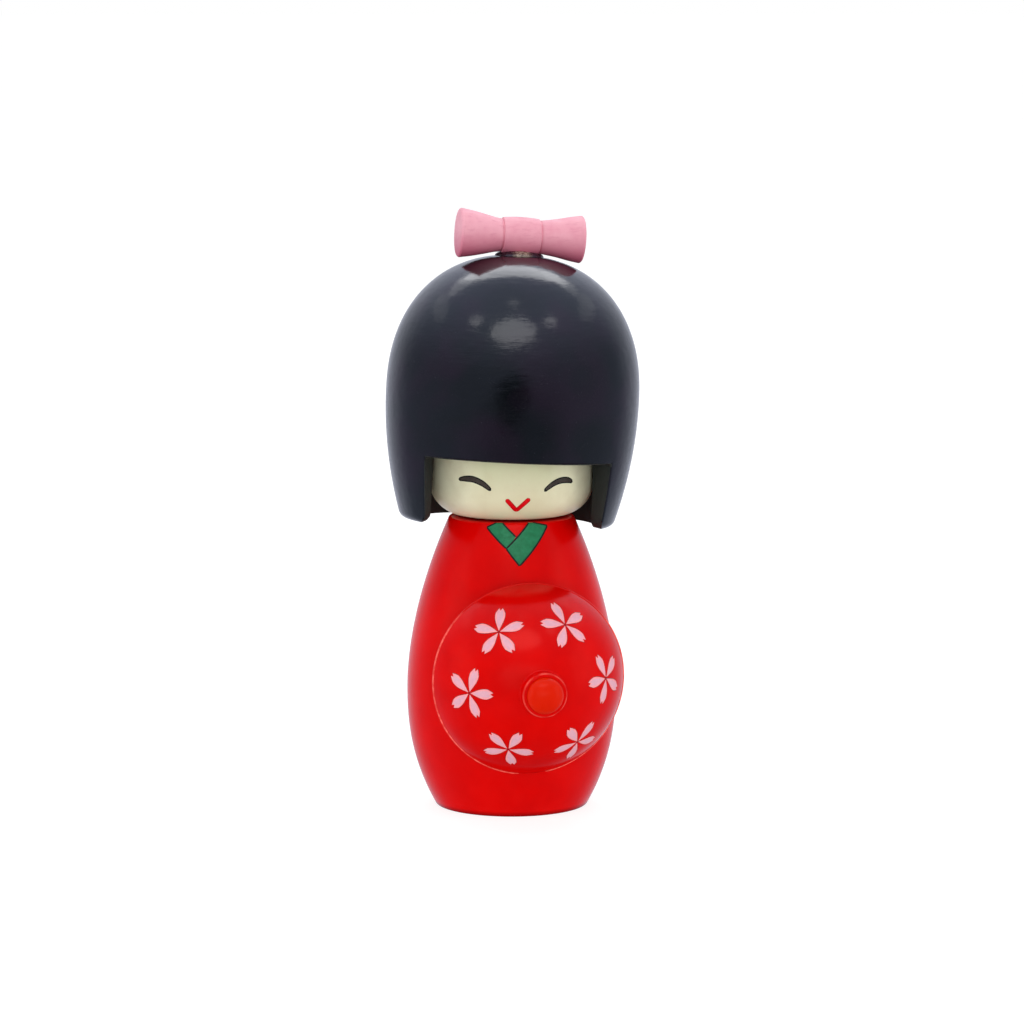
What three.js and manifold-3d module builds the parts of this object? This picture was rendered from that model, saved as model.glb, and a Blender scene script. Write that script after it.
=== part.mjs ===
// Turned wooden kokeshi doll: a lacquered body with a parasol on its front, a plain
// cylindrical head that turns on a neck dowel, and a bobbed hair cap with a bow.
// Millimetres, +Z up. The origin is the middle of the flat base and the doll faces -Y.

import * as THREE from 'three';
import { mergeVertices } from 'three/addons/utils/BufferGeometryUtils.js';
import Module from 'manifold-3d';

const wasm = await Module();
wasm.setup();

// ---------------------------------------------------------------- driving dimensions

const SEAT_GAP = 0.3;            // clearance between two pieces that sit on each other
const GLUE_GAP = 0.15;           // radial clearance of a glued dowel

// body
const BODY_HEIGHT = 64.9;
const BASE_RADIUS = 16.85;
const BASE_EDGE = 0.6;           // rounding of the base edge
const BELLY_RADIUS = 23.3;
const BELLY_HEIGHT = 26.5;       // level of the widest point
const SHOULDER_RADIUS = 13.8;
const SHOULDER_EDGE = 0.8;       // rounding of the shoulder edge
const BELLY_POWER_BELOW = 2.35;  // how the outline leaves the belly, downwards
const BELLY_POWER_ABOVE = 1.8;   // and upwards

// neck dowel, glued into the head and free to turn in the body
const DOWEL_RADIUS = 5.0;
const DOWEL_IN_BODY = 14.0;
const DOWEL_IN_HEAD = 12.0;
const DOWEL_CHAMFER = 0.8;
const SWIVEL_GAP = 0.3;

// head
const CHIN_HEIGHT = BODY_HEIGHT + SEAT_GAP;
const HEAD_RADIUS = 18.3;
const CHIN_ROUND = 7.6;
const HEAD_TAPER_START = 83.0;   // above this, hidden by the hair, the head narrows
const HEAD_TOP = 106.0;
const HEAD_TOP_RADIUS = 17.2;
const HEAD_TOP_ROUND = 3.0;

// hair cap, measured in its own frame from the level HAIR_CENTRE
const HAIR_CENTRE = 89.25;
const HAIR_SHIFT = 0.1;          // off the head's axis, towards +X
const HAIR_ROLL = 2.94;          // degrees, crown towards the doll's left (+X)
const HAIR_PITCH = 1.98;         // degrees, crown towards the back (+Y)
const HAIR_RADIUS = 28.05;
const HAIR_WIDEST = 2.5;
const HAIR_CROWN = 33.4;
const HAIR_CROWN_POWER = 2.25;   // superellipse exponent of the crown
const HAIR_RIM = -25.75;
const HAIR_RIM_RADIUS = 23.55;
const HAIR_RIM_ROUND = 2.2;
const BORE_RIM_RADIUS = 19.8;
const BORE_TOP_RADIUS = 19.0;
const BORE_TOP = 18.3;
const FRINGE_LEVEL = -10.8;      // underside of the fringe
const NOTCH_YAW = 1.65;          // degrees, turned towards +X
const NOTCH_HALF_WIDTH = 20.3;   // at the level NOTCH_FRONT
const NOTCH_FRONT = 17.5;
const NOTCH_FLARE = 16.0;        // degrees, each side wall opens to the front
const LOCK_CORNER = 1.4;         // rounding of the lower corner of each side lock

// bow
const BOW_LENGTH = 27.9;
const BOW_LEFT_RADIUS = 5.45;
const BOW_RIGHT_RADIUS = 5.25;
const BOW_GROOVE_RADIUS = 3.5;
const BOW_KNOT_RADIUS = 4.2;
const BOW_KNOT_HALF = 4.2;
const BOW_EDGE = 0.6;
const BOW_HEIGHT = 37.55;        // axis above HAIR_CENTRE, in the hair's frame
const BOW_YAW = 6.0;
const BOW_ROLL = 0.8;

// parasol, an axis pointing out of the belly and slightly down
const PARASOL_HEIGHT = 31.7;
const PARASOL_REACH = 21.7;      // middle of the rim from the doll's axis
const PARASOL_AZIMUTH = 5.2;     // degrees, where it sits on the belly, towards +X
const PARASOL_YAW = 7.0;         // degrees, where it faces, towards +X
const PARASOL_NOD = 2.4;         // degrees, its axis tips down
const CANOPY_RADIUS = 21.3;
const CANOPY_DEPTH = 16.0;
const CANOPY_EDGE = 0.5;         // rounding of the rim
const COLLAR_RADIUS = 4.9;
const COLLAR_RISE = 1.9;
const COLLAR_EDGE = 0.5;
const KNOB_RADIUS = 3.85;
const KNOB_RISE = 2.7;
const KNOB_SINK = 0.8;           // depth of the seat in the collar
const KNOB_STEM_RADIUS = 1.5;
const KNOB_STEM_LENGTH = 4.0;
const PEG_RADIUS = 2.5;
const PEG_IN_CANOPY = 7.5;
const PEG_IN_BODY = 8.5;
const PEG_CHAMFER = 0.4;

const ROUND = 64;                // sides of the large turned pieces
const ROUND_SMALL = 32;          // sides of the small turned pieces

const radians = THREE.MathUtils.degToRad;

// ---------------------------------------------------------------- solids and cuts

// A turned solid about +Z from an outline of [radius, height] points that starts and ends
// on the axis, the lower or inner end first.
function turned(outline, sides) {
  const points = outline.map(([radius, height]) => new THREE.Vector2(radius, height));
  return new THREE.LatheGeometry(points, sides).rotateX(Math.PI / 2);
}

function toSolid(geometry) {
  const bare = geometry.clone();
  bare.deleteAttribute('normal');
  bare.deleteAttribute('uv');
  const merged = mergeVertices(bare, 1e-4);
  const corners = [];
  for (let i = 0; i < merged.index.count; i += 3) {
    const [a, b, c] = [0, 1, 2].map((k) => merged.index.getX(i + k));
    if (a !== b && b !== c && c !== a) {
      corners.push(a, b, c);
    }
  }
  return new wasm.Manifold(new wasm.Mesh({
    numProp: 3,
    vertProperties: new Float32Array(merged.attributes.position.array),
    triVerts: new Uint32Array(corners),
  }));
}

function toGeometry(solid) {
  const mesh = solid.getMesh();
  const geometry = new THREE.BufferGeometry();
  geometry.setAttribute('position', new THREE.BufferAttribute(new Float32Array(mesh.vertProperties), 3));
  geometry.setIndex(new THREE.BufferAttribute(new Uint32Array(mesh.triVerts), 1));
  geometry.computeVertexNormals();
  return geometry;
}

function cut(geometry, ...tools) {
  const solid = tools.reduce((rest, tool) => rest.subtract(toSolid(tool)), toSolid(geometry));
  return toGeometry(solid);
}

// Points of a circular arc in the outline, between two angles in degrees.
function arc(centreRadius, centreHeight, size, from, to, steps = 4) {
  const points = [];
  for (let i = 0; i <= steps; i += 1) {
    const angle = radians(from + ((to - from) * i) / steps);
    points.push([centreRadius + size * Math.cos(angle), centreHeight + size * Math.sin(angle)]);
  }
  return points;
}

function rod(radius, from, to, sides) {
  return turned([[0, from], [radius, from], [radius, to], [0, to]], sides);
}

function dowel(radius, from, to, chamfer, sides) {
  return turned([
    [0, from],
    [radius - chamfer, from],
    [radius, from + chamfer],
    [radius, to - chamfer],
    [radius - chamfer, to],
    [0, to],
  ], sides);
}

// ---------------------------------------------------------------- placing

// The yaw turns the piece about its own axis first, and then the axis leans.
function placement(x, y, z, pitch = 0, roll = 0, yaw = 0) {
  const group = new THREE.Group();
  group.position.set(x, y, z);
  group.rotation.set(radians(pitch), radians(roll), radians(yaw), 'YXZ');
  group.updateMatrix();
  return group;
}

const hairFrame = placement(HAIR_SHIFT, 0, HAIR_CENTRE, -HAIR_PITCH, HAIR_ROLL);

// Unit vector at an azimuth from -Y towards +X, lowered by an angle.
function outwards(azimuth, drop = 0) {
  const level = new THREE.Vector3(Math.sin(radians(azimuth)), -Math.cos(radians(azimuth)), 0);
  return level.multiplyScalar(Math.cos(radians(drop))).setZ(-Math.sin(radians(drop)));
}

// The parasol's axis is its own Z, its X is level and its Y points up.
const parasolAxis = outwards(PARASOL_YAW, PARASOL_NOD);
const parasolSide = new THREE.Vector3(0, 0, 1).cross(parasolAxis).normalize();

const parasolFrame = new THREE.Group();
parasolFrame.position.copy(outwards(PARASOL_AZIMUTH)).multiplyScalar(PARASOL_REACH);
parasolFrame.position.z = PARASOL_HEIGHT;
parasolFrame.quaternion.setFromRotationMatrix(new THREE.Matrix4().makeBasis(
  parasolSide,
  parasolAxis.clone().cross(parasolSide),
  parasolAxis,
));
parasolFrame.updateMatrix();

// ---------------------------------------------------------------- body

function bodyRadius(height) {
  if (height < BELLY_HEIGHT) {
    const below = (BELLY_HEIGHT - height) / BELLY_HEIGHT;
    return BELLY_RADIUS - (BELLY_RADIUS - BASE_RADIUS) * below ** BELLY_POWER_BELOW;
  }
  const above = (height - BELLY_HEIGHT) / (BODY_HEIGHT - BELLY_HEIGHT);
  return BELLY_RADIUS - (BELLY_RADIUS - SHOULDER_RADIUS) * above ** BELLY_POWER_ABOVE;
}

function bodyWall(offset, steps) {
  const bottom = BASE_EDGE;
  const top = BODY_HEIGHT - SHOULDER_EDGE;
  const points = [];
  for (let i = 0; i <= steps; i += 1) {
    const height = bottom + ((top - bottom) * i) / steps;
    points.push([bodyRadius(height) + offset, height]);
  }
  return points;
}

function bodyGeometry() {
  const shoulder = bodyRadius(BODY_HEIGHT - SHOULDER_EDGE);
  const socket = DOWEL_RADIUS + SWIVEL_GAP;
  const turnedBody = turned([
    [0, 0],
    [bodyRadius(BASE_EDGE) - BASE_EDGE, 0],
    ...bodyWall(0, 14),
    ...arc(shoulder - SHOULDER_EDGE, BODY_HEIGHT - SHOULDER_EDGE, SHOULDER_EDGE, 30, 90, 2),
    [socket, BODY_HEIGHT],
    [socket, BODY_HEIGHT - DOWEL_IN_BODY - SWIVEL_GAP],
    [0, BODY_HEIGHT - DOWEL_IN_BODY - SWIVEL_GAP],
  ], ROUND);
  const surface = bodyRadius(PARASOL_HEIGHT) - PARASOL_REACH;
  const pegHole = rod(PEG_RADIUS + GLUE_GAP, surface - PEG_IN_BODY - SEAT_GAP, surface + 5, ROUND_SMALL);
  return cut(turnedBody, pegHole.applyMatrix4(parasolFrame.matrix));
}

// ---------------------------------------------------------------- head and neck

function neckDowelGeometry() {
  return dowel(DOWEL_RADIUS, BODY_HEIGHT - DOWEL_IN_BODY, CHIN_HEIGHT + DOWEL_IN_HEAD, DOWEL_CHAMFER, ROUND_SMALL);
}

function headGeometry() {
  const hole = DOWEL_RADIUS + GLUE_GAP;
  return turned([
    [0, CHIN_HEIGHT + DOWEL_IN_HEAD + SEAT_GAP],
    [hole, CHIN_HEIGHT + DOWEL_IN_HEAD + SEAT_GAP],
    [hole, CHIN_HEIGHT],
    ...arc(HEAD_RADIUS - CHIN_ROUND, CHIN_HEIGHT + CHIN_ROUND, CHIN_ROUND, -90, 0, 6),
    [HEAD_RADIUS, HEAD_TAPER_START],
    ...arc(HEAD_TOP_RADIUS - HEAD_TOP_ROUND, HEAD_TOP - HEAD_TOP_ROUND, HEAD_TOP_ROUND, 0, 90, 3),
    [0, HEAD_TOP],
  ], ROUND);
}

// ---------------------------------------------------------------- hair cap

// The crown is a quarter of a superellipse, given from the widest level up to the axis.
function crown(offset, steps) {
  const power = 2 / HAIR_CROWN_POWER;
  const points = [];
  for (let i = 0; i <= steps; i += 1) {
    const angle = (Math.PI / 2) * (i / steps);
    const radius = (HAIR_RADIUS + offset) * Math.max(Math.cos(angle), 0) ** power;
    const height = HAIR_WIDEST + (HAIR_CROWN + offset - HAIR_WIDEST) * Math.sin(angle) ** power;
    points.push([i === steps ? 0 : radius, height]);
  }
  return points;
}

function hairSkirtRadius(height) {
  const below = (HAIR_WIDEST - height) / (HAIR_WIDEST - HAIR_RIM);
  return HAIR_RADIUS - (HAIR_RADIUS - HAIR_RIM_RADIUS) * below ** 2;
}

function hairSkirt(steps) {
  const bottom = HAIR_RIM + HAIR_RIM_ROUND;
  const points = [];
  for (let i = 0; i < steps; i += 1) {
    const height = bottom + ((HAIR_WIDEST - bottom) * i) / steps;
    points.push([hairSkirtRadius(height), height]);
  }
  return points;
}

// Front outline of the notch: straight sides that round outwards at the foot of each lock.
function notchGeometry() {
  const foot = HAIR_RIM - 2;
  const side = arc(NOTCH_HALF_WIDTH + LOCK_CORNER, HAIR_RIM + LOCK_CORNER, LOCK_CORNER, 270, 180, 4);
  const right = [[NOTCH_HALF_WIDTH + LOCK_CORNER, foot], ...side, [NOTCH_HALF_WIDTH, FRINGE_LEVEL]];
  const left = right.map(([x, z]) => [-x, z]).reverse();
  const outline = new THREE.Shape([...right, ...left].map(([x, z]) => new THREE.Vector2(x, z)));
  const depth = 30;
  const inner = 5;
  const block = new THREE.ExtrudeGeometry(outline, { depth, bevelEnabled: false, steps: 1 });
  // The outline stands in X and Z and runs from the bore out to the front.
  block.rotateX(Math.PI / 2).translate(0, -inner, 0);
  const flare = Math.tan(radians(NOTCH_FLARE));
  const position = block.attributes.position;
  for (let i = 0; i < position.count; i += 1) {
    const x = position.getX(i);
    position.setX(i, x + Math.sign(x) * (-position.getY(i) - NOTCH_FRONT) * flare);
  }
  return block.rotateZ(radians(NOTCH_YAW));
}

function hairCapGeometry() {
  const lip = hairSkirtRadius(HAIR_RIM + HAIR_RIM_ROUND) - HAIR_RIM_ROUND;
  const bell = turned([
    [0, BORE_TOP],
    [BORE_TOP_RADIUS, BORE_TOP],
    [BORE_RIM_RADIUS, HAIR_RIM],
    ...arc(lip, HAIR_RIM + HAIR_RIM_ROUND, HAIR_RIM_ROUND, -90, 0, 4).slice(0, -1),
    ...hairSkirt(5),
    ...crown(0, 10),
  ], ROUND);
  return cut(bell, notchGeometry());
}

// ---------------------------------------------------------------- bow

// One turned spindle: a barrel knot between two grooves and a flared loop on each side.
function bowOutline() {
  const half = BOW_LENGTH / 2;
  const loop = (radius, side) => [
    [radius - BOW_EDGE, side * half],
    [radius, side * (half - BOW_EDGE)],
    [radius - 0.45, side * (half - 3.0)],
    [radius - 1.05, side * (half - 5.6)],
    [BOW_GROOVE_RADIUS, side * BOW_KNOT_HALF],
  ];
  const knot = [];
  for (const along of [-0.85, -0.45, 0, 0.45, 0.85]) {
    knot.push([BOW_KNOT_RADIUS - 0.25 * along ** 2, along * BOW_KNOT_HALF]);
  }
  return [
    [0, -half - 0.25],
    ...loop(BOW_LEFT_RADIUS, -1),
    ...knot,
    ...loop(BOW_RIGHT_RADIUS, 1).reverse(),
    [0, half + 0.25],
  ];
}

function bowGeometry(frame) {
  const spindle = turned(bowOutline(), ROUND_SMALL).rotateY(Math.PI / 2);
  const head = turned([[0, HAIR_WIDEST], ...crown(SEAT_GAP, 16)], ROUND);
  head.applyMatrix4(frame.matrix.clone().invert());
  return cut(spindle, head);
}

// ---------------------------------------------------------------- parasol

const canopySphere = (CANOPY_RADIUS ** 2 + CANOPY_DEPTH ** 2) / (2 * CANOPY_DEPTH);

// Height of the domed face over the rim plane.
function canopyHeight(radius) {
  return Math.sqrt(canopySphere ** 2 - radius ** 2) - (canopySphere - CANOPY_DEPTH);
}

function canopyGeometry() {
  const collarTop = CANOPY_DEPTH + COLLAR_RISE;
  const stemHole = KNOB_STEM_RADIUS + GLUE_GAP;
  const seatRadius = KNOB_RADIUS + GLUE_GAP * 2;
  const seat = collarTop - KNOB_SINK;
  const dome = [];
  const steps = 9;
  for (let i = 0; i <= steps; i += 1) {
    const radius = CANOPY_RADIUS - 0.4 + ((COLLAR_RADIUS - CANOPY_RADIUS + 0.4) * i) / steps;
    dome.push([radius, canopyHeight(radius)]);
  }
  const shell = turned([
    [0, PEG_IN_CANOPY + SEAT_GAP],
    [PEG_RADIUS + GLUE_GAP, PEG_IN_CANOPY + SEAT_GAP],
    [PEG_RADIUS + GLUE_GAP, 0],
    [CANOPY_RADIUS - CANOPY_EDGE, 0],
    [CANOPY_RADIUS, CANOPY_EDGE * 0.6],
    ...dome,
    [COLLAR_RADIUS, collarTop - COLLAR_EDGE],
    [COLLAR_RADIUS - COLLAR_EDGE * 0.3, collarTop - COLLAR_EDGE * 0.3],
    [COLLAR_RADIUS - COLLAR_EDGE, collarTop],
    [seatRadius, collarTop],
    [seatRadius, seat],
    [stemHole, seat],
    [stemHole, seat - KNOB_STEM_LENGTH - SEAT_GAP],
    [0, seat - KNOB_STEM_LENGTH - SEAT_GAP],
  ], ROUND);
  const belly = turned([[0, BASE_EDGE], ...bodyWall(SEAT_GAP, 14), [0, BODY_HEIGHT - SHOULDER_EDGE]], ROUND);
  belly.applyMatrix4(parasolFrame.matrix.clone().invert());
  return cut(shell, belly);
}

function finialGeometry() {
  const seat = CANOPY_DEPTH + COLLAR_RISE - KNOB_SINK + GLUE_GAP;
  const top = CANOPY_DEPTH + COLLAR_RISE + KNOB_RISE;
  const dome = [];
  const steps = 7;
  for (let i = 0; i <= steps; i += 1) {
    const angle = (Math.PI / 2) * (i / steps);
    const spring = seat + KNOB_SINK;
    dome.push([i === steps ? 0 : KNOB_RADIUS * Math.cos(angle), spring + (top - spring) * Math.sin(angle)]);
  }
  return turned([
    [0, seat - KNOB_STEM_LENGTH],
    [KNOB_STEM_RADIUS, seat - KNOB_STEM_LENGTH],
    [KNOB_STEM_RADIUS, seat],
    [KNOB_RADIUS - 0.3, seat],
    ...dome,
  ], ROUND_SMALL);
}

function parasolPegGeometry() {
  const surface = bodyRadius(PARASOL_HEIGHT) - PARASOL_REACH;
  return dowel(PEG_RADIUS, surface - PEG_IN_BODY, PEG_IN_CANOPY, PEG_CHAMFER, ROUND_SMALL);
}

// ---------------------------------------------------------------- finishes

function finish(color, roughness) {
  return new THREE.MeshStandardMaterial({ color, roughness, metalness: 0 });
}

const redLacquer = finish(0xd80704, 0.18);
const hairLacquer = finish(0x24272f, 0.32);
const creamPaint = finish(0xdad3ae, 0.5);
const pinkPaint = finish(0xe8a0b2, 0.55);
const orangeLacquer = finish(0xe02c08, 0.2);
const rawBeech = finish(0xd9b98a, 0.7);

function piece(name, geometry, material) {
  const mesh = new THREE.Mesh(geometry, material);
  mesh.name = name;
  return mesh;
}

// ---------------------------------------------------------------- assembly

const bowFrame = placement(0, 0, BOW_HEIGHT, 0, BOW_ROLL, BOW_YAW);
const bow = piece('bow', bowGeometry(bowFrame), pinkPaint);
bow.position.copy(bowFrame.position);
bow.quaternion.copy(bowFrame.quaternion);

hairFrame.add(piece('hair_cap', hairCapGeometry(), hairLacquer));
hairFrame.add(bow);

parasolFrame.add(piece('parasol_canopy', canopyGeometry(), redLacquer));
parasolFrame.add(piece('parasol_finial', finialGeometry(), orangeLacquer));
parasolFrame.add(piece('parasol_peg', parasolPegGeometry(), rawBeech));

const doll = new THREE.Group();
doll.add(piece('body', bodyGeometry(), redLacquer));
doll.add(piece('neck_dowel', neckDowelGeometry(), rawBeech));
doll.add(piece('head', headGeometry(), creamPaint));
doll.add(hairFrame);
doll.add(parasolFrame);

export default doll;
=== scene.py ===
"""The looks of a lacquered kokeshi doll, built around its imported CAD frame.

Lengths are written in millimetres and scaled to metres when a mesh is made. The doll stands
at the origin, faces -Y, and an azimuth is in degrees from -Y towards +X.
"""

from math import asin, atan, atan2, cos, degrees, hypot, pi, radians, sin, sqrt, tan

import bmesh
import bpy
import numpy as np
from mathutils import Matrix, Vector


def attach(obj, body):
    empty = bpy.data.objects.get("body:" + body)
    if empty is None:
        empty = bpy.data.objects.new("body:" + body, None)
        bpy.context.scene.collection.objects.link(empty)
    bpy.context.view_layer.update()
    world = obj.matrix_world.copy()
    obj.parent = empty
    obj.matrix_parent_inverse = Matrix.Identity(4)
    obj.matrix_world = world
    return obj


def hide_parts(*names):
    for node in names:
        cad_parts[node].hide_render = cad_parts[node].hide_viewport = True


MM = 0.001

# ---------------- dimensions in millimetres and degrees, as in the CAD

SEAT_GAP = 0.3
GLUE_GAP = 0.15

BODY_HEIGHT = 64.9
BASE_RADIUS = 16.85
BASE_EDGE = 0.6
BELLY_RADIUS = 23.3
BELLY_HEIGHT = 26.5
SHOULDER_RADIUS = 13.8
SHOULDER_EDGE = 0.8
BELLY_POWER_BELOW = 2.35
BELLY_POWER_ABOVE = 1.8

SOCKET_RADIUS = 5.3
SOCKET_DEPTH = 14.3
DOWEL_HOLE_RADIUS = 5.15
DOWEL_HOLE_DEPTH = 12.3

CHIN_HEIGHT = 65.2
HEAD_RADIUS = 18.3
CHIN_ROUND = 7.6
HEAD_TAPER_START = 83.0
HEAD_TOP = 106.0
HEAD_TOP_RADIUS = 17.2
HEAD_TOP_ROUND = 3.0

HAIR_CENTRE = 89.25
HAIR_SHIFT = 0.1
HAIR_ROLL = 2.94
HAIR_PITCH = 1.98
HAIR_RADIUS = 28.05
HAIR_WIDEST = 2.5
HAIR_CROWN = 33.4
HAIR_CROWN_POWER = 2.25
HAIR_RIM = -25.75
HAIR_RIM_RADIUS = 23.55
HAIR_RIM_ROUND = 2.2
BORE_RIM_RADIUS = 19.8
BORE_TOP_RADIUS = 19.0
BORE_TOP = 18.3
FRINGE_LEVEL = -10.8
NOTCH_YAW = 1.65
NOTCH_HALF_WIDTH = 20.3
NOTCH_FRONT = 17.5
NOTCH_FLARE = 16.0
LOCK_CORNER = 2.1                # with the coats that fill it out round

BOW_LENGTH = 27.9
BOW_LEFT_RADIUS = 5.45
BOW_RIGHT_RADIUS = 5.25
BOW_KNOT_RADIUS = 4.2
BOW_KNOT_HALF = 4.2
BOW_EDGE = 0.6
BOW_HEIGHT = 37.55
BOW_YAW = 6.0
BOW_ROLL = 0.8

PARASOL_HEIGHT = 31.7
PARASOL_REACH = 21.7
PARASOL_AZIMUTH = 5.2
PARASOL_YAW = 7.0
PARASOL_NOD = 2.4
CANOPY_RADIUS = 21.3
CANOPY_DEPTH = 16.0
RIM_BEAD = 0.36                  # radius of the bead that the lacquer forms on the rim
COLLAR_RADIUS = 4.9
COLLAR_RISE = 1.9
COLLAR_EDGE = 0.5
KNOB_RISE = 2.7
KNOB_SINK = 0.8
KNOB_WIDTH = 4.0                 # with its coats of lacquer
KNOB_STEM_RADIUS = 1.5
KNOB_STEM_LENGTH = 4.0
PEG_RADIUS = 2.5
PEG_IN_CANOPY = 7.5
PEG_IN_BODY = 8.5

CANOPY_SPHERE = (CANOPY_RADIUS ** 2 + CANOPY_DEPTH ** 2) / (2 * CANOPY_DEPTH)

CHAMFER = 0.3                    # of the edges that other pieces hide
COLLAR_FILLET = 0.5              # where the collar rises from the dome
BEVEL = 0.55                     # of the hair cap's sharp edges

ROUND = 192                      # sides of the large turned pieces
ROUND_SMALL = 96                 # sides of the small ones

# ---------------- frames


def direction_of(azimuth, elevation):
    """Unit vector at an azimuth from -Y towards +X and an elevation, in degrees."""
    around = radians(azimuth)
    up = radians(elevation)
    return Vector((sin(around) * cos(up), -cos(around) * cos(up), sin(up)))


def rotation(angle, axis):
    """Turn by an angle in degrees about a named axis."""
    return Matrix.Rotation(radians(angle), 4, axis)


def hair_frame():
    middle = Matrix.Translation((HAIR_SHIFT, 0, HAIR_CENTRE))
    return middle @ rotation(HAIR_ROLL, "Y") @ rotation(-HAIR_PITCH, "X")


def bow_frame():
    """The bow's axis is its own X, seen from the hair's frame."""
    return Matrix.Translation((0, 0, BOW_HEIGHT)) @ rotation(BOW_ROLL, "Y") @ rotation(BOW_YAW, "Z")


def parasol_frame():
    """The parasol's axis is its own Z, its X is level and its Y points up."""
    axis = direction_of(PARASOL_YAW, -PARASOL_NOD)
    side = Vector((0, 0, 1)).cross(axis).normalized()
    basis = Matrix((side, axis.cross(side), axis)).transposed().to_4x4()
    middle = direction_of(PARASOL_AZIMUTH, 0) * PARASOL_REACH + Vector((0, 0, PARASOL_HEIGHT))
    return Matrix.Translation(middle) @ basis


# ---------------- mesh making


def add_object(name, data):
    thing = bpy.data.objects.new(name, data)
    bpy.context.scene.collection.objects.link(thing)
    return thing


def make_piece(name, vertices, faces, place=None, crease=38):
    """A smooth-shaded object from points in millimetres, creased at edges over crease degrees."""
    mesh = bpy.data.meshes.new(name)
    mesh.from_pydata([tuple(p) for p in vertices], [], faces)
    if place is not None:
        mesh.transform(place)
    mesh.transform(Matrix.Scale(MM, 4))
    piece = add_object(name, mesh)
    finish_mesh(piece, crease)
    return piece


def finish_mesh(piece, crease=38, weld=False):
    """Turns every face outwards and shades the mesh smooth between its creases. A mesh that was
    cut or bevelled is welded as well, since that leaves doubled points."""
    form = bmesh.new()
    form.from_mesh(piece.data)
    if weld:
        bmesh.ops.remove_doubles(form, verts=form.verts, dist=1e-8)
    bmesh.ops.recalc_face_normals(form, faces=form.faces)
    form.to_mesh(piece.data)
    form.free()
    piece.data.shade_smooth()
    piece.data.set_sharp_from_angle(angle=radians(crease))


def turned_form(outline, sides):
    """Points and faces of a solid turned about Z, from [radius, height] points that start
    and end on the axis."""
    rings = np.array(outline[1:-1])
    angles = np.arange(sides) * 2 * pi / sides
    points = [(0, 0, outline[0][1])]
    for radius, height in rings:
        points += [(radius * cos(a), radius * sin(a), height) for a in angles]
    points.append((0, 0, outline[-1][1]))
    last = len(points) - 1
    faces = []
    for side in range(sides):
        after = (side + 1) % sides
        faces.append((0, 1 + after, 1 + side))
        for ring in range(len(rings) - 1):
            low = 1 + ring * sides
            high = low + sides
            faces.append((low + side, low + after, high + after, high + side))
        top = 1 + (len(rings) - 1) * sides
        faces.append((last, top + side, top + after))
    return points, faces


def turned_piece(name, outline, sides, place=None):
    points, faces = turned_form(outline, sides)
    return make_piece(name, points, faces, place)


def arc(centre_radius, centre_height, size, start, end, steps=8):
    """Points of an arc of an outline, between two angles in degrees."""
    angles = np.radians(np.linspace(start, end, steps + 1))
    return [(centre_radius + size * cos(a), centre_height + size * sin(a)) for a in angles]


def quarter_round(share):
    """Height of a quarter circle at a share of its width from its foot, 0 before it and 1
    past its end."""
    return sqrt(1 - (1 - min(max(share, 0), 1)) ** 2)


def smooth_curve(points, count):
    """A curve of count points through the given ones, spaced evenly along its length."""
    points = np.array(points, float)
    ends = np.vstack([2 * points[0] - points[1], points, 2 * points[-1] - points[-2]])
    dense = []
    for i in range(1, len(ends) - 2):
        a, b, c, d = ends[i - 1:i + 3]
        for t in np.linspace(0, 1, 40, endpoint=False):
            dense.append(0.5 * (2 * b + (c - a) * t + (2 * a - 5 * b + 4 * c - d) * t ** 2
                                + (3 * b - a - 3 * c + d) * t ** 3))
    dense.append(points[-1])
    return even_points(dense, count)


def lengths_along(points):
    return np.concatenate([[0], np.cumsum(np.linalg.norm(np.diff(points, axis=0), axis=1))])


def even_points(points, count):
    points = np.array(points, float)
    run = lengths_along(points)
    stations = np.linspace(0, run[-1], count)
    return np.column_stack([np.interp(stations, run, column) for column in points.T])


def coat(piece, materials, owners=None):
    """Gives a piece its materials and, where they are several, each face the number of its own."""
    piece.data.materials.clear()
    for material in materials:
        piece.data.materials.append(material)
    if owners is not None:
        piece.data.polygons.foreach_set("material_index", owners)


def cut_away(piece, tool):
    """Cuts the tool's solid out of the piece and drops the tool."""
    modifier = piece.modifiers.new("cut", "BOOLEAN")
    modifier.operation = "DIFFERENCE"
    modifier.solver = "EXACT"
    modifier.object = tool
    apply_modifiers(piece)
    bpy.data.objects.remove(tool)
    finish_mesh(piece, weld=True)


def apply_modifiers(piece):
    graph = bpy.context.evaluated_depsgraph_get()
    finished = bpy.data.meshes.new_from_object(piece.evaluated_get(graph))
    piece.modifiers.clear()
    piece.data = finished


# ---------------- painted surfaces


def slope_of(radius, height):
    """How fast a radius that is a function of height grows with it."""
    step = 0.01
    return (radius(height + step) - radius(height - step)) / (2 * step)


class TurnedSurface:
    """A painted surface turned about the doll's axis, with radius given by a function."""

    def __init__(self, radius):
        self.radius = radius

    def point(self, azimuth, height):
        angle = radians(azimuth)
        radius = self.radius(height)
        return np.array([radius * sin(angle), -radius * cos(angle), height])

    def normal(self, point):
        flat = hypot(point[0], point[1])
        slope = slope_of(self.radius, point[2])
        direction = np.array([point[0] / flat, point[1] / flat, -slope])
        return direction / np.linalg.norm(direction)

    def lay(self, point, lift):
        """The point of the surface by the given one, raised off it by lift."""
        on = self.point(degrees(atan2(point[0], -point[1])), point[2])
        return on + self.normal(on) * lift


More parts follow.
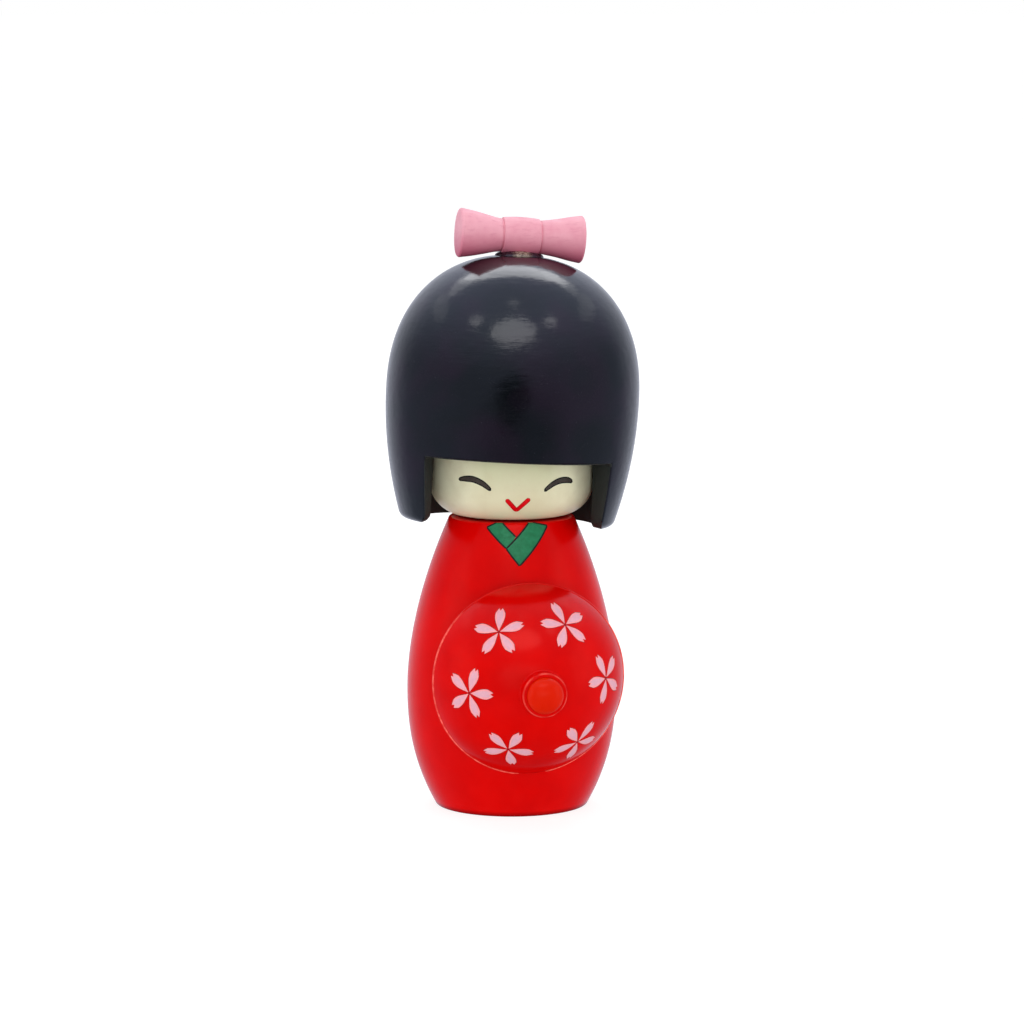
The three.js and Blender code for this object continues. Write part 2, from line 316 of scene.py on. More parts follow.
class DomeSurface:
    """The parasol's domed face. A point is given from a blossom's centre, outwards and round."""

    def __init__(self, place):
        self.centre = np.array(place @ Vector((0, 0, CANOPY_DEPTH - CANOPY_SPHERE)))
        self.axes = np.array(place.to_3x3().transposed())

    def blossom(self, polar, around):
        """Unit vectors at a blossom's centre: off the dome, away from the knob, and round it."""
        across, up, out = self.axes
        polar = radians(polar)
        around = radians(around)
        radial = across * cos(around) + up * sin(around)
        normal = out * cos(polar) + radial * sin(polar)
        away = radial * cos(polar) - out * sin(polar)
        return normal, away, np.cross(normal, away)

    def point(self, blossom, away, side):
        normal, outward, round_it = blossom
        reach = hypot(away, side)
        if reach == 0:
            return self.centre + normal * CANOPY_SPHERE
        direction = (outward * away + round_it * side) / reach
        angle = reach / CANOPY_SPHERE
        return self.centre + (normal * cos(angle) + direction * sin(angle)) * CANOPY_SPHERE

    def normal(self, point):
        direction = point - self.centre
        return direction / np.linalg.norm(direction)

    def lay(self, point, lift):
        return self.centre + self.normal(point) * (CANOPY_SPHERE + lift)


PAINT_SINK = 0.06      # how far a painted patch reaches below its surface
THIN_EDGE = 0.25       # what is left of the film at its very edge


def paint_film(surface, grid, film, form):
    """Adds one closed film of paint, film thick, over a grid of points on the surface, to the
    points and faces collected in form. The film thins out towards the grid's border."""
    rows, columns = len(grid), len(grid[0])
    points, faces = form
    first = len(points)
    for i in range(rows):
        for j in range(columns):
            inside = min(i, rows - 1 - i, j, columns - 1 - j)
            full = THIN_EDGE + (1 - THIN_EDGE) * quarter_round(inside / 2)
            points.append(surface.lay(grid[i][j], film * full))
    points += [surface.lay(point, -PAINT_SINK) for row in grid for point in row]
    under = rows * columns
    number = first + np.arange(under).reshape(rows, columns)
    for i in range(rows - 1):
        for j in range(columns - 1):
            face = (number[i, j], number[i, j + 1], number[i + 1, j + 1], number[i + 1, j])
            faces.append(face)
            faces.append(tuple(k + under for k in reversed(face)))
    border = [*number[0], *number[1:, -1], *number[-1, -2::-1], *number[-2:0:-1, 0]]
    for a, b in zip(border, border[1:] + border[:1]):
        faces.append((b, a, a + under, b + under))


BLUNT_END = 0.12       # share of its width that a stroke has at its very end
STROKE_COLUMNS = 7


def brush_stroke(surface, path, halves, form, film):
    """A round-ended stroke along [azimuth, height] points, with a half width at each."""
    centres = np.array([surface.point(*place) for place in path])
    headings = np.gradient(centres, axis=0)
    run = lengths_along(centres)
    grid = []
    for centre, heading, along, half in zip(centres, headings, run, halves):
        side = np.cross(surface.normal(centre), heading)
        end = quarter_round(min(along, run[-1] - along) / half)
        side *= half * max(end, BLUNT_END) / np.linalg.norm(side)
        grid.append([centre + side * s for s in np.linspace(-1, 1, STROKE_COLUMNS)])
    paint_film(surface, grid, film, form)


# ---------------- body


def body_radius(height):
    """Radius of the outside above its lower edge, with the rounded shoulder."""
    corner_radius, wall_top, _ = shoulder_corner()
    if height > wall_top:
        return corner_radius + SHOULDER_EDGE * quarter_round((BODY_HEIGHT - height) / SHOULDER_EDGE)
    return wall_radius(height)


def blended_corner(wall, centre_height, size):
    """Radius of the centre of a rounded corner that runs smoothly into a wall, and the level
    and the angle in degrees at which it meets the wall."""
    angle = 0.0
    for _ in range(4):
        meeting = centre_height + size * sin(angle)
        angle = -atan(slope_of(wall, meeting))
    centre_radius = wall(meeting) - size * cos(angle)
    return centre_radius, centre_height + size * sin(angle), degrees(angle)


def shoulder_corner():
    return blended_corner(wall_radius, BODY_HEIGHT - SHOULDER_EDGE, SHOULDER_EDGE)


def wall_radius(height):
    if height < BELLY_HEIGHT:
        below = (BELLY_HEIGHT - height) / BELLY_HEIGHT
        return BELLY_RADIUS - (BELLY_RADIUS - BASE_RADIUS) * below ** BELLY_POWER_BELOW
    above = (height - BELLY_HEIGHT) / (BODY_HEIGHT - BELLY_HEIGHT)
    return BELLY_RADIUS - (BELLY_RADIUS - SHOULDER_RADIUS) * above ** BELLY_POWER_ABOVE


def body_wall(low, high, offset=0.0, steps=90):
    return [(wall_radius(h) + offset, h) for h in np.linspace(low, high, steps + 1)]


def build_body(place):
    foot_radius, wall_low, foot_angle = blended_corner(wall_radius, BASE_EDGE, BASE_EDGE)
    top_radius, wall_high, top_angle = shoulder_corner()
    top_height = BODY_HEIGHT - SHOULDER_EDGE
    outline = [
        (0, 0),
        (foot_radius - 1.0, 0),
        *arc(foot_radius, BASE_EDGE, BASE_EDGE, -90, foot_angle, 6)[:-1],
        *body_wall(wall_low, wall_high),
        *arc(top_radius, top_height, SHOULDER_EDGE, top_angle, 90, 8)[1:],
        (top_radius - 1.2, BODY_HEIGHT),
        (SOCKET_RADIUS + CHAMFER, BODY_HEIGHT),
        (SOCKET_RADIUS, BODY_HEIGHT - CHAMFER),
        (SOCKET_RADIUS, BODY_HEIGHT - SOCKET_DEPTH),
        (0, BODY_HEIGHT - SOCKET_DEPTH),
    ]
    body = turned_piece("doll_body", outline, ROUND)
    surface = wall_radius(PARASOL_HEIGHT) - PARASOL_REACH
    low = surface - PEG_IN_BODY - SEAT_GAP
    hole = PEG_RADIUS + GLUE_GAP
    drill = [(0, low), (hole, low), (hole, surface + 5), (0, surface + 5)]
    cut_away(body, turned_piece("drill", drill, 48, place))
    return body


# ---------------- head


def head_radius(height):
    chin = quarter_round((height - CHIN_HEIGHT) / CHIN_ROUND)
    return HEAD_RADIUS - CHIN_ROUND * (1 - chin)


def build_head():
    ceiling = CHIN_HEIGHT + DOWEL_HOLE_DEPTH
    wall = [(HEAD_RADIUS, h) for h in np.linspace(CHIN_HEIGHT + CHIN_ROUND, HEAD_TAPER_START, 8)[1:]]
    outline = [
        (0, ceiling),
        (DOWEL_HOLE_RADIUS, ceiling),
        (DOWEL_HOLE_RADIUS, CHIN_HEIGHT + CHAMFER),
        (DOWEL_HOLE_RADIUS + CHAMFER, CHIN_HEIGHT),
        (HEAD_RADIUS - CHIN_ROUND - 2.0, CHIN_HEIGHT),
        *arc(HEAD_RADIUS - CHIN_ROUND, CHIN_HEIGHT + CHIN_ROUND, CHIN_ROUND, -90, 0, 32),
        *wall,
        *arc(HEAD_TOP_RADIUS - HEAD_TOP_ROUND, HEAD_TOP - HEAD_TOP_ROUND, HEAD_TOP_ROUND, 0, 90, 12),
        (0, HEAD_TOP),
    ]
    return turned_piece("doll_head", outline, ROUND)


# Each brow-like closed eye is [azimuth, height, half width] along its middle line.
LEFT_EYE = [(-43.7, 74.55, 0.36), (-38.0, 74.82, 0.64), (-31.5, 74.78, 0.72), (-25.2, 74.05, 0.66),
            (-21.0, 73.15, 0.52), (-18.6, 72.45, 0.34)]
RIGHT_EYE = [(18.4, 72.2, 0.34), (21.2, 72.95, 0.5), (26.0, 73.85, 0.62), (31.5, 74.36, 0.7),
             (37.5, 74.32, 0.68), (42.4, 73.8, 0.4)]
EYE_OUTLINE = 0.16
MOUTH = [(-8.3, 70.62), (-0.92, 67.95), (8.3, 70.75)]


def build_eye(name, eye, surface):
    """A closed eye, a dark stroke that swells in the middle under a narrower brown one."""
    outline, fill = ([], []), ([], [])
    path = smooth_curve(eye, 34)
    brush_stroke(surface, path[:, :2], path[:, 2], outline, 0.04)
    brush_stroke(surface, path[1:-1, :2], path[1:-1, 2] - EYE_OUTLINE, fill, 0.055)
    return layered_piece(name, [outline, fill], [paint("line_dark"), paint("eye_brown")])


def mouth_path(shorten):
    """The V of the mouth with its point rounded a little and a share taken off its ends."""
    left, low, right = (np.array(p) for p in MOUTH)
    start = left + (low - left) * shorten
    end = right + (low - right) * shorten
    bend = 0.1
    point = low + np.array([0, 0.12])
    return [start, low + (left - low) * bend, point, low + (right - low) * bend, end]


def build_mouth(surface):
    outline, fill = ([], []), ([], [])
    count = 40
    brush_stroke(surface, even_points(mouth_path(0.0), count), [0.54] * count, outline, 0.04)
    brush_stroke(surface, even_points(mouth_path(0.02), count), [0.43] * count, fill, 0.06)
    return layered_piece("mouth", [outline, fill], [paint("mouth_edge_red"), paint("mouth_red")])


def layered_piece(name, layers, materials):
    """One object from several films of paint, each with its own material."""
    points, faces, owners = [], [], []
    for number, (layer_points, layer_faces) in enumerate(layers):
        first = len(points)
        points += layer_points
        faces += [tuple(first + k for k in face) for face in layer_faces]
        owners += [number] * len(layer_faces)
    piece = make_piece(name, points, faces, crease=60)
    coat(piece, materials, owners)
    return piece


# ---------------- collar of the kimono

# Corners are [azimuth, height]. The left strip ends where it meets the right one, from the
# bottom to the top of the join. The right strip ends between the bottom of the join and the tip.
COLLAR_TOP = 64.86
COLLAR_TIP = (1.3, 55.85)
COLLAR_JOIN_TOP = (-0.84, 61.98)
COLLAR_JOIN_BOTTOM = (-8.62, 59.49)
LEFT_START = [(-26.77, 63.87), (-18.54, COLLAR_TOP), (-12.75, COLLAR_TOP)]
RIGHT_START = [(11.34, COLLAR_TOP), (15.53, COLLAR_TOP), (29.03, 64.10)]


def strip_grid(surface, start, end, rows=40, columns=10):
    """A strip between two lines of [azimuth, height] points that run across it."""
    first = even_points(start, columns)
    last = even_points(end, columns)
    grid = []
    for t in np.linspace(0, 1, rows):
        grid.append([surface.point(*(a + (b - a) * t)) for a, b in zip(first, last)])
    return grid


def build_collar(surface):
    left, right, lines = ([], []), ([], []), ([], [])
    for start, last_corner, film, form in (
        (LEFT_START, COLLAR_JOIN_TOP, 0.035, left),
        (RIGHT_START, COLLAR_TIP, 0.045, right),
    ):
        grid = strip_grid(surface, start, [COLLAR_JOIN_BOTTOM, last_corner])
        paint_film(surface, grid, film, form)
    borders = [
        [LEFT_START[1], LEFT_START[0], COLLAR_JOIN_BOTTOM],
        [LEFT_START[2], COLLAR_JOIN_TOP],
        [RIGHT_START[0], COLLAR_JOIN_BOTTOM, COLLAR_TIP, RIGHT_START[2], RIGHT_START[1]],
    ]
    for border in borders:
        for a, b in zip(border, border[1:]):
            brush_stroke(surface, even_points([a, b], 30), [0.19] * 30, lines, 0.06)
    green = paint("collar_green")
    return layered_piece("collar", [left, right, lines], [green, green, paint("line_dark")])


# ---------------- hair cap


def crown_outline(offset=0.0, steps=60):
    """Outline of the crown from the widest level up to the axis."""
    power = 2 / HAIR_CROWN_POWER
    points = []
    for angle in np.linspace(0, pi / 2, steps + 1):
        radius = (HAIR_RADIUS + offset) * max(cos(angle), 0) ** power
        rise = (HAIR_CROWN + offset - HAIR_WIDEST) * sin(angle) ** power
        points.append((radius, HAIR_WIDEST + rise))
    points[-1] = (0, HAIR_CROWN + offset)
    return points


def skirt_radius(height):
    below = (HAIR_WIDEST - height) / (HAIR_WIDEST - HAIR_RIM)
    return HAIR_RADIUS - (HAIR_RADIUS - HAIR_RIM_RADIUS) * below ** 2


def bore_radius(height):
    share = (height - HAIR_RIM) / (BORE_TOP - HAIR_RIM)
    return BORE_RIM_RADIUS + (BORE_TOP_RADIUS - BORE_RIM_RADIUS) * share


def notch_angle(radius, height):
    """Where the side wall of the notch crosses a circle, in degrees from its middle."""
    corner = LOCK_CORNER * (1 - quarter_round((height - HAIR_RIM) / LOCK_CORNER))
    half = NOTCH_HALF_WIDTH + corner
    flare = radians(NOTCH_FLARE)
    reach = (half - NOTCH_FRONT * tan(flare)) * cos(flare)
    return NOTCH_FLARE + degrees(asin(min(reach / radius, 1)))


def build_hair_cap(place):
    """A bell with a notch for the face. Columns of points follow the sides of the notch."""
    rim_centre = HAIR_RIM + HAIR_RIM_ROUND
    lip, rim_top, rim_angle = blended_corner(skirt_radius, rim_centre, HAIR_RIM_ROUND)
    rim = arc(lip, rim_centre, HAIR_RIM_ROUND, -90, rim_angle, 12)
    lower = rim + [(skirt_radius(h), h) for h in np.linspace(rim_top + 0.6, FRINGE_LEVEL, 22)]
    skirt = [(skirt_radius(h), h) for h in np.linspace(FRINGE_LEVEL, HAIR_WIDEST, 20)[1:-1]]
    upper = [lower[-1], *skirt, *crown_outline()[:-1]]
    bore_lower = [(bore_radius(h), h) for _, h in lower]
    bore_upper = [(bore_radius(h), h) for h in np.linspace(FRINGE_LEVEL, BORE_TOP, 14)]
    face_columns = 60
    back_columns = 150
    points, faces = [], []

    def add_line(radius, height, azimuths):
        first = len(points)
        for azimuth in azimuths:
            angle = radians(azimuth + NOTCH_YAW)
            points.append((radius * sin(angle), -radius * cos(angle), height))
        return list(range(first, len(points)))

    def round_back(side):
        return np.linspace(side, 360 - side, back_columns + 1)

    def join(low, high):
        for k in range(len(low) - 1):
            faces.append((low[k], low[k + 1], high[k + 1], high[k]))

    def add_shell(lower, upper, apex):
        """One wall of the bell, closed by a fan at the apex. Above the fringe its lines of
        points run all round, and below it round the back only. Gives back the line along the
        fringe and the lines below it."""
        side = notch_angle(upper[0][0], FRINGE_LEVEL)
        whole = [*np.linspace(-side, side, face_columns + 1)[:-1], *round_back(side)[:-1]]
        rings = [add_line(r, h, whole) for r, h in upper]
        rows = [add_line(r, h, round_back(notch_angle(r, h))) for r, h in lower[:-1]]
        rows.append(rings[0][face_columns:] + rings[0][:1])
        for low, high in zip(rings, rings[1:]):
            join(low + low[:1], high + high[:1])
        for low, high in zip(rows, rows[1:]):
            join(low, high)
        last = rings[-1]
        for here, after in zip(last, last[1:] + last[:1]):
            faces.append((here, after, len(points)))
        points.append((0, 0, apex))
        return rings[0][:face_columns + 1], rows

    outer_fringe, outer_rows = add_shell(lower, upper, HAIR_CROWN)
    outside = len(faces)
    inner_fringe, inner_rows = add_shell(bore_lower, bore_upper, BORE_TOP)
    join(outer_rows[0], inner_rows[0])
    join(outer_fringe, inner_fringe)
    for end in (0, -1):
        join([row[end] for row in outer_rows], [row[end] for row in inner_rows])
    hair = make_piece("hair_shell", points, faces, place)
    owners = [0] * outside + [1] * (len(faces) - outside)
    coat(hair, [hair_lacquer(), paint("hair_inside")], owners)
    over_rim = place @ Vector((0, 0, HAIR_RIM + 1.2))
    round_edges(hair, BEVEL, over_rim.z)
    return hair


def round_edges(piece, width, lowest):
    """Rounds the sharp edges of a piece that are above a level, both in millimetres."""
    form = bmesh.new()
    form.from_mesh(piece.data)
    weights = form.edges.layers.float.new("bevel_weight_edge")
    for edge in form.edges:
        high = min(vertex.co.z for vertex in edge.verts) > lowest * MM
        if high and edge.calc_face_angle(0) > radians(50):
            edge[weights] = 1.0
    form.to_mesh(piece.data)
    form.free()
    modifier = piece.modifiers.new("edges", "BEVEL")
    modifier.width = width * MM
    modifier.segments = 3
    modifier.limit_method = "WEIGHT"
    modifier.use_clamp_overlap = False
    apply_modifiers(piece)
    finish_mesh(piece, weld=True)


# ---------------- bow


def bow_outline():
    half = BOW_LENGTH / 2

    def loop(radius, side):
        flare = smooth_curve([
            (3.68, BOW_KNOT_HALF + 0.3),
            (3.86, BOW_KNOT_HALF + 1.6),
            (radius - 0.98, half - 5.6),
            (radius - 0.42, half - 3.0),
            (radius - 0.02, half - BOW_EDGE),
        ], 22)
        edge = arc(radius - BOW_EDGE, half - BOW_EDGE, BOW_EDGE, 8, 80, 7)
        profile = [*map(tuple, flare), *edge, (radius - 2.2, half + 0.12)]
        return [(r, side * along) for r, along in reversed(profile)]

    groove = [(3.5, BOW_KNOT_HALF + 0.1), (3.5, BOW_KNOT_HALF)]
    knot_half = BOW_KNOT_HALF - 0.16
    knot = [(BOW_KNOT_RADIUS - 0.25 * t ** 2, t * knot_half) for t in np.linspace(-1, 1, 22)]
    return [
        (0, -half - 0.25),
        *loop(BOW_LEFT_RADIUS, -1),
        *[(r, -along) for r, along in groove],
        *knot,
        *reversed(groove),
        *reversed(loop(BOW_RIGHT_RADIUS, 1)),
        (0, half + 0.25),
    ]


def build_bow(hair_place):
    place = hair_place @ bow_frame() @ rotation(90, "Y")
    bow = turned_piece("hair_bow", bow_outline(), ROUND_SMALL, place)
    crown = [(0, HAIR_WIDEST), *crown_outline(0.12)]
    cut_away(bow, turned_piece("crown_tool", crown, ROUND, hair_place))
    return bow


GLUE_HALF_SIZES = (5.3, 4.3, 1.5)      # along the bow, across it and up


def build_glue(hair_place):
    """The mound of glue that the knot sits in, squeezed out unevenly all round."""
    outline = [(0, -0.9), *arc(0, 0, 1.0, -75, 75, 16), (0, 0.9)]
    points, faces = turned_form(outline, 64)
    length, width, height = GLUE_HALF_SIZES
    shaped = []
    for x, y, z in points:
        around = atan2(y, x)
        swell = 1 + 0.05 * sin(3 * around + 0.6) + 0.03 * sin(7 * around)
        shaped.append((x * length * swell, y * width * swell, z * height))
    seat = hair_place @ rotation(BOW_YAW, "Z") @ Matrix.Translation((0, 0, HAIR_CROWN - 0.35))
    return make_piece("glue_bead", shaped, faces, seat)


# ---------------- parasol


def canopy_height(radius):
    return sqrt(CANOPY_SPHERE ** 2 - radius ** 2) - (CANOPY_SPHERE - CANOPY_DEPTH)


def build_canopy(place):
    collar_top = CANOPY_DEPTH + COLLAR_RISE
    stem_hole = KNOB_STEM_RADIUS + GLUE_GAP
    seat_radius = KNOB_WIDTH + 0.015
    seat = collar_top - KNOB_SINK
    peg_radius = PEG_RADIUS + GLUE_GAP
    bead_radius = CANOPY_RADIUS - RIM_BEAD + 0.05
    bead = arc(bead_radius, RIM_BEAD, RIM_BEAD, -90, 75, 14)
    foot = COLLAR_RADIUS + COLLAR_FILLET
    dome = [(r, canopy_height(r)) for r in np.linspace(bead[-1][0], foot, 64)[1:]]
    fillet = arc(foot, canopy_height(foot) + COLLAR_FILLET, COLLAR_FILLET, -105, -180, 6)
    outline = [
        (0, PEG_IN_CANOPY + SEAT_GAP),
        (peg_radius, PEG_IN_CANOPY + SEAT_GAP),
        (peg_radius, 0),
        (bead_radius - 1.0, 0),
        *bead,
        *dome,
        *fillet,
        *arc(COLLAR_RADIUS - COLLAR_EDGE, collar_top - COLLAR_EDGE, COLLAR_EDGE, 0, 90, 8),
        (seat_radius, collar_top),
        (seat_radius, seat),
        (stem_hole, seat),
        (stem_hole, seat - KNOB_STEM_LENGTH - SEAT_GAP),
        (0, seat - KNOB_STEM_LENGTH - SEAT_GAP),
    ]
    canopy = turned_piece("parasol_dome", outline, ROUND, place)
    low, high = BASE_EDGE, BODY_HEIGHT - SHOULDER_EDGE
    belly = [(0, low), *body_wall(low, high, SEAT_GAP), (0, high)]
    cut_away(canopy, turned_piece("belly_tool", belly, ROUND))
    # the rim bead and the collar's edge carry a painted highlight in pale red
    rim = edge_lacquer("parasol_rim", 1.0, 1.2, 0.35)
    collar = edge_lacquer("parasol_collar", 0.45, 2.6, 0.0)
    zones = [canopy_zone(face, place) for face in canopy.data.polygons]
    coat(canopy, [parasol_lacquer(), rim, collar], zones)
    return canopy


def canopy_zone(face, place):
    """1 for a face on the bead of the rim, 2 on the edge of the collar and 0 elsewhere."""
    middle = place.inverted() @ (face.center / MM)
    radius = hypot(middle.x, middle.y)
    if radius > CANOPY_RADIUS - RIM_BEAD and middle.z < 2 * RIM_BEAD:
        return 1
    edge_low = CANOPY_DEPTH + COLLAR_RISE - 0.8 * COLLAR_EDGE
    if COLLAR_RADIUS - 0.6 * COLLAR_EDGE < radius < COLLAR_RADIUS + 0.2 and middle.z > edge_low:
        return 2
    return 0


def build_knob(place):
    seat = CANOPY_DEPTH + COLLAR_RISE - KNOB_SINK + GLUE_GAP
    spring = seat + KNOB_SINK
    rise = CANOPY_DEPTH + COLLAR_RISE + KNOB_RISE - spring
    angles = np.linspace(0, pi / 2, 30)
    dome = [(KNOB_WIDTH * cos(a), spring + rise * sin(a)) for a in angles[:-1]]
    outline = [
        (0, seat - KNOB_STEM_LENGTH),
        (KNOB_STEM_RADIUS, seat - KNOB_STEM_LENGTH),
        (KNOB_STEM_RADIUS, seat),
        (KNOB_WIDTH - CHAMFER, seat),
        (KNOB_WIDTH, seat + CHAMFER),
        *dome,
        (0, spring + rise),
    ]
    return turned_piece("parasol_knob", outline, ROUND_SMALL, place)


# ---------------- cherry blossoms

# Where each blossom sits on the dome: degrees off the parasol's axis, and round it.
BLOSSOMS = [(42.9, 6.4), (42.4, 66.9), (43.4, 124.5), (42.7, 182.2), (41.5, 243.8), (42.8, 306.0)]
PETAL_TURNS = (0, 74, -74, 144, -144)      # from the one that points at the knob
PETAL_START = 0.25
PETAL_HALF_WIDTH = 1.13
PETAL_NOTCH = 0.78
LOBE_AT = 0.56             # where the point of each lobe is, as a share of the half width


def petal_grid(surface, blossom, turn, length, inset):
    """A petal that ends in two pointed lobes, shrunk by inset. Its width follows a sine arch
    that would close a third past its end."""
    angle = radians(180 + turn)
    along = complex(cos(angle), sin(angle))
    start = PETAL_START + inset * 2.2
    end = length - inset * 1.1
    grid = []
    for t in np.linspace(0, 1, 22):
        row = []
        for s in np.linspace(-1, 1, 13):
            off_lobe = abs(abs(s) - LOBE_AT) / LOBE_AT
            if abs(s) < LOBE_AT:
                cut = 0.9 * off_lobe ** 1.15
            else:                      # the outer side of a lobe falls off faster
                cut = 1.25 * (1.6 * off_lobe) ** 1.15
            limit = end - PETAL_NOTCH * cut
            reach = start + (limit - start) * t
            share = min(max((reach - PETAL_START) / (length - PETAL_START), 0), 1)
            swell = (sin(pi * min(share / 1.32, 1) ** 0.98)) ** 1.1
            half = max(PETAL_HALF_WIDTH * swell - inset, 0.04)
            spot = along * complex(reach, half * s)
            row.append(surface.point(blossom, spot.real, spot.imag))
        grid.append(row)
    return grid


def build_blossom(number, surface, polar, around):
    blossom = surface.blossom(polar, around)
    layers = [([], []), ([], []), ([], [])]
    for turn in PETAL_TURNS:
        length = 6.1 if abs(turn) > 90 else 5.7
        for layer, (inset, film) in zip(layers, ((-0.08, 0.02), (0.0, 0.035), (0.3, 0.05))):
            paint_film(surface, petal_grid(surface, blossom, turn, length, inset), film, layer)
    materials = [paint("petal_outline"), paint("petal_edge_pink"), paint("petal_lilac")]
    return layered_piece(f"blossom_{number}", layers, materials)


# ---------------- materials


class Nodes:
    """A node tree, with short calls that add nodes to it and give back what they put out."""

    def __init__(self, tree, coordinates):
        self.tree = tree
        self.place = self.new("TexCoord").outputs[coordinates]

    def new(self, kind, **settings):
        node = self.tree.nodes.new("ShaderNode" + kind)
        for key, value in settings.items():
            setattr(node, key, value)
        return node

    def feed(self, socket, value):
        """Links another node's output to a socket, or sets the socket to a number or colour."""
        if isinstance(value, bpy.types.NodeSocket):
            self.tree.links.new(value, socket)
        elif socket.type == "RGBA":
            socket.default_value = (*value, 1)
        else:
            socket.default_value = value

    def add(self, kind, *values, output=0, **settings):
        """Adds a node, feeds its inputs in their order and gives back one of its outputs."""
        node = self.new(kind, **settings)
        for socket, value in zip(node.inputs, values):
            self.feed(socket, value)
        return node.outputs[output]

    def vector(self, operation, *values, output="Vector"):
        return self.add("VectorMath", *values, output=output, operation=operation)

    def along(self, direction):
        """How far a point lies along a direction."""
        return self.vector("DOT_PRODUCT", self.place, direction, output="Value")

    def ramp(self, value, low, high, start=0.0, end=1.0, kind="LINEAR"):
        """Maps value from low..high to start..end, and holds it at the ends."""
        return self.add("MapRange", value, low, high, start, end, interpolation_type=kind)

    def math(self, operation, *values):
        return self.add("Math", *values, operation=operation)


class Shader(Nodes):
    """One material: its Principled shader, and the textures that go into it."""

    def __init__(self, name):
        self.material = bpy.data.materials.new(name)
        self.material.use_nodes = True
        super().__init__(self.material.node_tree, "Object")
        self.surface = self.tree.nodes["Principled BSDF"]

    def set(self, **values):
        """Feeds the surface's sockets by name, with _ for each space."""
        for key, value in values.items():
            self.feed(self.surface.inputs[key.replace("_", " ")], value)

    def noise(self, size, detail=2.0, roughness=0.5, stretch=None):
        """Soft noise whose blobs are about size millimetres across, over stretch on each axis."""
        node = self.new("TexNoise")
        place = self.place if stretch is None else self.vector("MULTIPLY", self.place, stretch)
        for key, value in (("Vector", place), ("Scale", 1 / (size * MM)),
                           ("Detail", detail), ("Roughness", roughness)):
            self.feed(node.inputs[key], value)
        return node.outputs[0]

    def height(self, low, high, start=0.0, end=1.0, tilt=0.0):
        """A ramp between two levels in millimetres, which tilt makes rise towards -X."""
        return self.ramp(self.along((tilt, 0, 1)), low * MM, high * MM, start, end)

    def mix(self, share, first, second):
        """A colour between two, each a tuple or another node's output."""
        node = self.new("Mix", data_type="RGBA")
        for number, value in ((0, share), (6, first), (7, second)):
            self.feed(node.inputs[number], value)
        return node.outputs[2]

    def bump(self, *layers):
        """Adds bump layers, each (height, depth in millimetres), on top of each other."""
        for height, depth in layers:
            node = self.new("Bump")
            below = self.surface.inputs["Normal"].links
            if below:
                self.feed(node.inputs["Normal"], below[0].from_socket)
            self.feed(node.inputs["Distance"], depth * MM)
            self.feed(node.inputs["Height"], height)
            self.set(Normal=node.outputs["Normal"])


def srgb(red, green, blue):
    """A colour given in 0 to 255 as on a screen, as linear numbers."""
    shares = [value / 255 for value in (red, green, blue)]
    return tuple(s / 12.92 if s <= 0.04045 else ((s + 0.055) / 1.055) ** 2.4 for s in shares)


RED_SHEEN = (1.0, 0.7, 0.62)       # the clear coat's reflection, tinged by the paint below


def lacquer(name, colour, deep, roughness=0.2, flow=0.012, gloss=1.24):
    """Red gloss paint over turned wood: a slow change of tone, fine specks, the slight waves
    of the flowed coat, orange peel, and traces of the turning."""
    shader = Shader(name)
    specks = shader.ramp(shader.noise(0.35, 2, 0.6), 0.62, 0.8, 0, 0.5)
    tone = shader.math("ADD", shader.ramp(shader.noise(9, 3, 0.55), 0.35, 0.65), specks)
    wear = shader.ramp(shader.noise(3.0, 3, 0.6), 0.3, 0.75, roughness * 0.85, roughness * 1.25)
    turning = shader.noise(1.3, 1, 0.5, (0.02, 0.02, 1.0))
    shader.set(Base_Color=shader.mix(tone, colour, deep), Roughness=wear)
    shader.set(IOR=gloss, Specular_Tint=RED_SHEEN)
    shader.bump((shader.noise(4.5, 1, 0.4), flow), (turning, flow * 0.25), (shader.noise(0.5), 0.0012))
    return shader


def paint_over(shader, share, colour):
    """Covers a share of a shader's base colour with another colour."""
    below = shader.surface.inputs["Base Color"].links[0].from_socket
    shader.set(Base_Color=shader.mix(share, below, colour))


def red_lacquer():
    """The body's red, darkened along the very edge of the base by painted shade where it meets the
    floor.
    """
    shader = lacquer("red_lacquer", srgb(224, 2, 1), srgb(214, 1, 1), gloss=1.22)
    # painted shade: dark red over the lowest 1.3 mm of the body, where it stands on the floor
    paint_over(shader, shader.height(0.2, 1.3, 0.8, 0), srgb(110, 0, 0))
    return shader.material


def parasol_lacquer():
    return lacquer("parasol_red", srgb(222, 3, 1), srgb(211, 2, 1), 0.16, flow=0.026).material


def edge_lacquer(name, highlight_share, patch, least):
    """The red of one of the parasol's edges, with pale red paint laid in patches of a size in
    millimetres as a painted highlight along the edge. The second argument is the share of pale
    paint in a patch at the sides, which fades out towards the top where the edge lies in shade, and
    least is how much of it is left between the patches."""
    shader = lacquer(name, srgb(218, 12, 7), srgb(208, 7, 4))
    patches = shader.ramp(shader.noise(patch), 0.35, 0.6, least, 1)
    share = shader.math("MULTIPLY", patches, shader.height(43, 47.5, highlight_share, 0))
    # painted highlight: pale red in patches along the edge, fading out towards the top
    paint_over(shader, share, srgb(255, 108, 96))
    return shader.material


def knob_lacquer():
    return lacquer("knob_orange", srgb(226, 34, 0), srgb(218, 24, 0)).material


